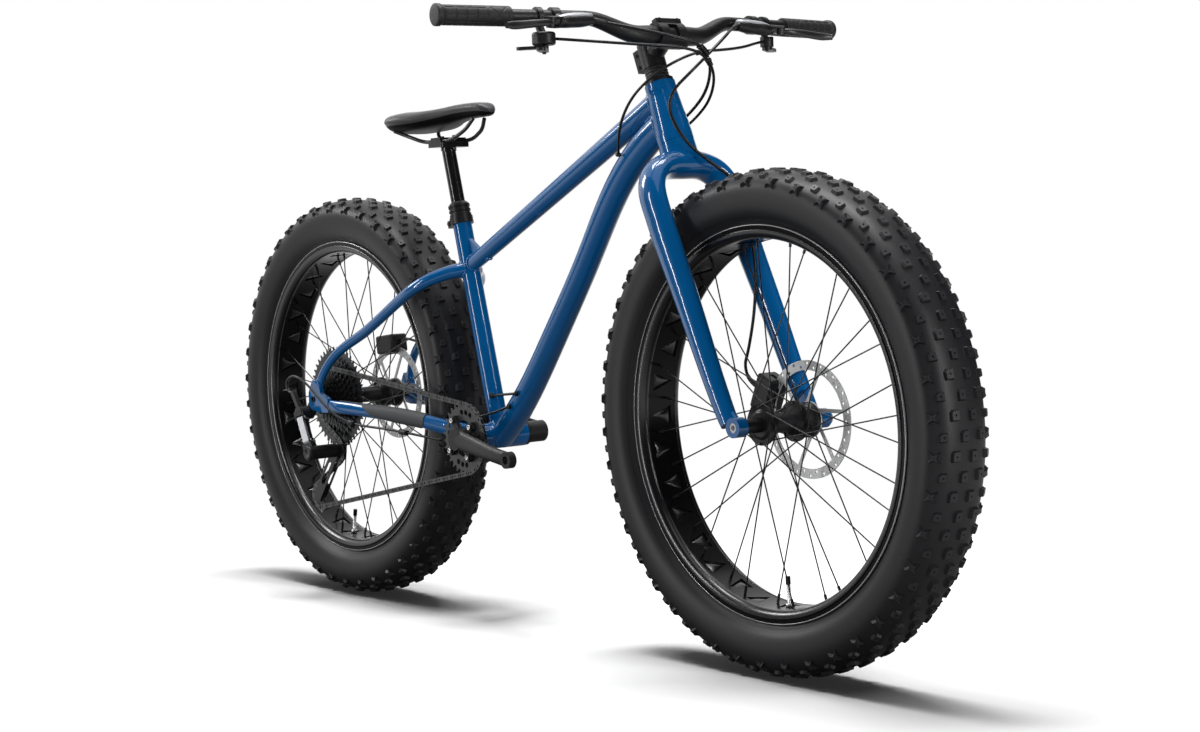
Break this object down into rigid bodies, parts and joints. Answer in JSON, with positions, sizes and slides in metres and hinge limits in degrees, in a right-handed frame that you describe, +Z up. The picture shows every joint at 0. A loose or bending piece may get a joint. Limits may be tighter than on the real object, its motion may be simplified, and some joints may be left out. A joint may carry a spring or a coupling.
{
  "type": "fat tire bike",
  "caption": "Rigid fat-tyre mountain bike with steering, spinning wheels, geared chain drive, disc brakes, dropper saddle and hand controls.",
  "frame": {"origin": "on the floor, midway between the two axles, in the bike's middle plane", "axes": "+X forward, +Y to the rider's left, +Z up"},
  "size_m": [1.944, 0.8062, 1.0178],
  "materials": {
    "frame_paint": "gloss",
    "black_alloy": "satin black",
    "silver_alloy": "satin",
    "steel": "brushed",
    "spoke_steel": "black",
    "tyre_rubber": "matte",
    "soft_rubber": "matte",
    "black_plastic": "satin",
    "saddle_cover": "matte"
  },
  "bodies": {
    "frame": {"head_tube": "frame_paint", "top_tube": "frame_paint", "down_tube": "frame_paint", "seat_tube": "frame_paint", "bottom_bracket_shell": "frame_paint", "chainstays": "frame_paint", "seatstays": "frame_paint", "chainstay_guard": "soft_rubber", "seat_clamp": "black_alloy", "headset_bearings": "steel", "bottom_bracket_cups": "black_alloy", "rear_thru_axle": "black_alloy", "rear_brake_caliper": "black_alloy", "derailleur_hanger": "black_alloy", "derailleur_b_knuckle": "black_alloy", "dropper_post_body": "black_alloy", "frame_cable_runs": "black_plastic", "chain": "steel"},
    "steering": {"fork": "frame_paint", "front_thru_axle": "black_alloy", "headset_spacers": "black_alloy", "stem": "black_alloy", "stem_faceplate": "black_alloy", "handlebar": "black_alloy", "grips": "soft_rubber", "brake_lever_bodies": "black_alloy", "shifter_body": "black_plastic", "dropper_remote_body": "black_plastic", "front_brake_caliper": "black_alloy", "front_brake_hose": "black_plastic", "rear_brake_hose": "black_plastic", "bar_cable_housings": "black_plastic"},
    "front_wheel": {"front_tyre": "tyre_rubber", "front_rim": "black_alloy", "front_spokes": "spoke_steel", "front_hub": "black_alloy", "front_rotor": "steel"},
    "rear_wheel": {"rear_tyre": "tyre_rubber", "rear_rim": "black_alloy", "rear_spokes": "spoke_steel", "rear_hub": "black_alloy", "rear_rotor": "steel"},
    "cassette": {"cassette": "steel"},
    "crankset": {"crank_arm_right": "black_alloy", "crank_arm_left": "black_alloy", "chainring": "silver_alloy"},
    "outer_link": {"derailleur_outer_link": "black_alloy"},
    "inner_link": {"derailleur_inner_link": "black_alloy"},
    "p_knuckle": {"derailleur_p_knuckle": "black_alloy"},
    "cage": {"derailleur_cage": "black_alloy"},
    "guide_pulley": {"guide_pulley": "black_plastic"},
    "tension_pulley": {"tension_pulley": "black_plastic"},
    "right_lever": {"brake_lever_right": "silver_alloy"},
    "left_lever": {"brake_lever_left": "silver_alloy"},
    "main_paddle": {"shift_paddle_main": "black_plastic"},
    "release_paddle": {"shift_paddle_release": "black_plastic"},
    "remote_lever": {"dropper_remote_lever": "black_plastic"},
    "seat": {"dropper_shaft": "steel", "saddle_rails": "steel", "saddle": "saddle_cover"}
  },
  "joints": [
    {"name": "steering", "type": "hinge", "parent": "frame", "child": "steering", "pos_m": [0.54329, 0, 0.36179], "axis": [-0.3502, 0, 0.9367], "range_deg": [-60, 60], "deforming": ["rear_brake_hose", "bar_cable_housings"]},
    {"name": "front_wheel_spin", "type": "hinge", "parent": "steering", "child": "front_wheel", "pos_m": [0.592, 0, 0.38], "axis": [0, 1, 0], "continuous": true},
    {"name": "rear_wheel_spin", "type": "hinge", "parent": "frame", "child": "rear_wheel", "pos_m": [-0.592, 0, 0.38], "axis": [0, 1, 0], "continuous": true},
    {"name": "crank_spin", "type": "hinge", "parent": "frame", "child": "crankset", "pos_m": [-0.138, 0, 0.325], "axis": [0, 1, 0], "continuous": true, "deforming": ["chain"]},
    {"name": "cassette_spin", "type": "hinge", "parent": "frame", "child": "cassette", "pos_m": [-0.592, 0, 0.38], "axis": [0, 1, 0], "continuous": true, "deforming": ["chain"]},
    {"name": "derailleur_shift", "type": "hinge", "parent": "frame", "child": "outer_link", "pos_m": [-0.60558, -0.12882, 0.34344], "axis": [0.7462, 0.5736, 0.3379], "range_deg": [-30, 5], "stiffness_Nm_per_rad": 0.6, "springref_deg": -1.15, "deforming": ["chain"]},
    {"name": "inner_link_swing", "type": "hinge", "parent": "frame", "child": "inner_link", "pos_m": [-0.61237, -0.11818, 0.34037], "axis": [0.7462, 0.5736, 0.3379], "range_deg": [-31, 6], "deforming": ["chain"]},
    {"name": "p_knuckle_swing", "type": "hinge", "parent": "outer_link", "child": "p_knuckle", "pos_m": [-0.5866, -0.12882, 0.30154], "axis": [0.7462, 0.5736, 0.3379], "range_deg": [-6, 31], "deforming": ["chain"]},
    {"name": "cage_swing", "type": "hinge", "parent": "p_knuckle", "child": "cage", "pos_m": [-0.578, -0.066, 0.28], "axis": [0, 1, 0], "range_deg": [-40, 25], "stiffness_Nm_per_rad": 1, "deforming": ["chain"]},
    {"name": "guide_pulley_spin", "type": "hinge", "parent": "cage", "child": "guide_pulley", "pos_m": [-0.578, -0.066, 0.28], "axis": [0, 1, 0], "continuous": true, "deforming": ["chain"]},
    {"name": "tension_pulley_spin", "type": "hinge", "parent": "cage", "child": "tension_pulley", "pos_m": [-0.65404, -0.066, 0.18717], "axis": [0, 1, 0], "continuous": true, "deforming": ["chain"]},
    {"name": "right_brake_pull", "type": "hinge", "parent": "steering", "child": "right_lever", "pos_m": [0.37321, -0.232, 0.9885], "axis": [0.2, 0, 0.9798], "range_deg": [-22, 0], "stiffness_Nm_per_rad": 0.8, "springref_deg": 14.32},
    {"name": "left_brake_pull", "type": "hinge", "parent": "steering", "child": "left_lever", "pos_m": [0.37321, 0.232, 0.9885], "axis": [0.2, 0, 0.9798], "range_deg": [0, 22], "stiffness_Nm_per_rad": 0.8, "springref_deg": -14.32},
    {"name": "shift_push", "type": "hinge", "parent": "steering", "child": "main_paddle", "pos_m": [0.34771, -0.228, 0.9665], "axis": [0, 0, 1], "range_deg": [0, 35], "stiffness_Nm_per_rad": 0.3, "springref_deg": -14.32},
    {"name": "shift_release", "type": "hinge", "parent": "steering", "child": "release_paddle", "pos_m": [0.34771, -0.228, 0.9665], "axis": [0, 0, 1], "range_deg": [-18, 0], "stiffness_Nm_per_rad": 0.3, "springref_deg": 14.32},
    {"name": "dropper_release", "type": "hinge", "parent": "steering", "child": "remote_lever", "pos_m": [0.34371, 0.228, 0.9735], "axis": [0, 0, 1], "range_deg": [-30, 0], "stiffness_Nm_per_rad": 0.3, "springref_deg": 14.32},
    {"name": "dropper_slide", "type": "slide", "parent": "frame", "child": "seat", "axis": [-0.2437, 0, 0.9698], "range_m": [-0.09, 0], "stiffness_N_per_m": 300, "springref_m": 0.15}
  ],
  "couplings": [
    {"joint": "cassette_spin", "follows": "crank_spin", "ratio": 1.0714},
    {"joint": "guide_pulley_spin", "follows": "crank_spin", "ratio": -2.7273},
    {"joint": "tension_pulley_spin", "follows": "crank_spin", "ratio": 2.7273},
    {"joint": "inner_link_swing", "follows": "derailleur_shift", "ratio": 1},
    {"joint": "p_knuckle_swing", "follows": "derailleur_shift", "ratio": -1}
  ]
}
